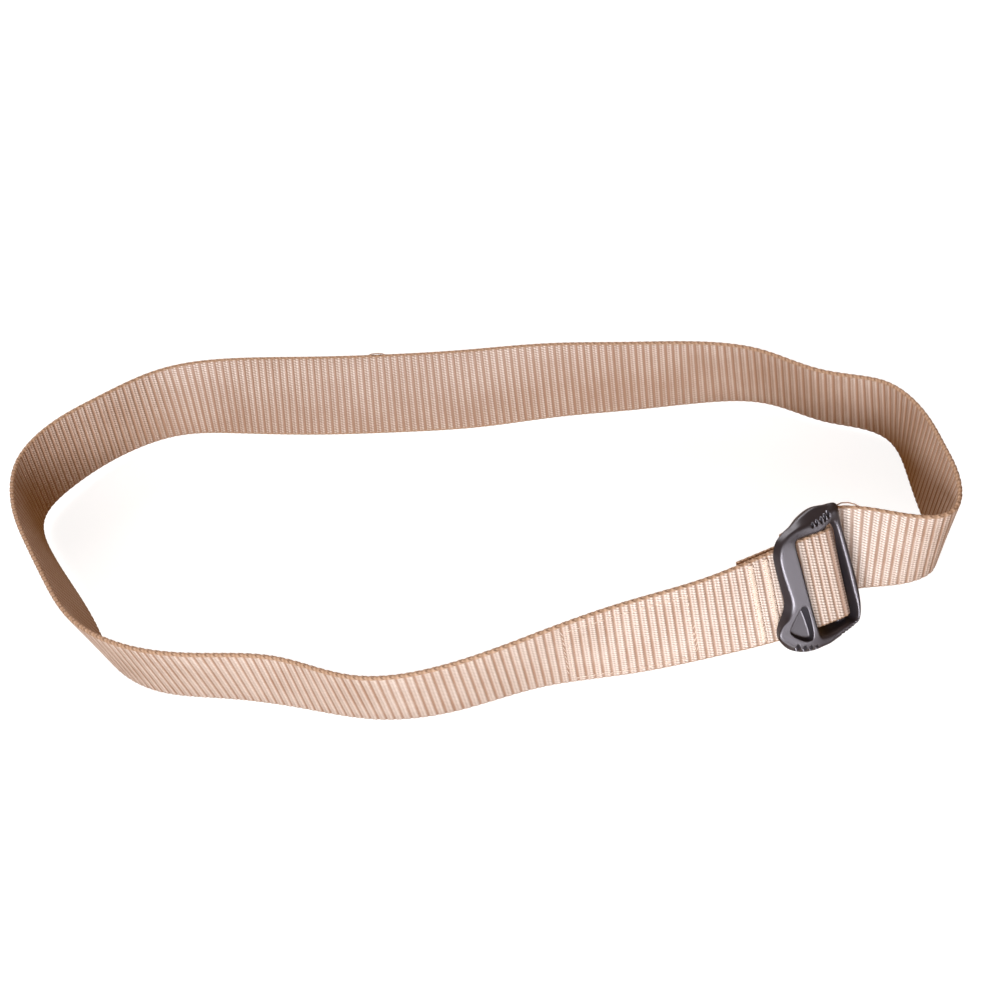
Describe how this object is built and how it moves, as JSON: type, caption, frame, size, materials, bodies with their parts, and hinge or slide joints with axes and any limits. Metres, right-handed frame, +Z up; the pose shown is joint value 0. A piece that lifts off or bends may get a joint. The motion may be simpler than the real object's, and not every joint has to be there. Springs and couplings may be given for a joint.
{
  "type": "military belt",
  "caption": "Ribbed webbing waist belt standing on its edge in a closed loop, with a moulded open-frame buckle and a sewn fold-back.",
  "frame": {"origin": "middle of the belt's footprint on the surface that it stands on", "axes": "+X along the long side of the loop, towards the buckle's end; +Y from the front run to the rear run; +Z up"},
  "size_m": [0.3922, 0.211, 0.0499],
  "materials": {
    "webbing": "ribbed woven nylon",
    "buckle_frame": "satin moulded plastic"
  },
  "bodies": {
    "root": {"webbing": "webbing", "buckle_frame": "buckle_frame"}
  },
  "joints": []
}
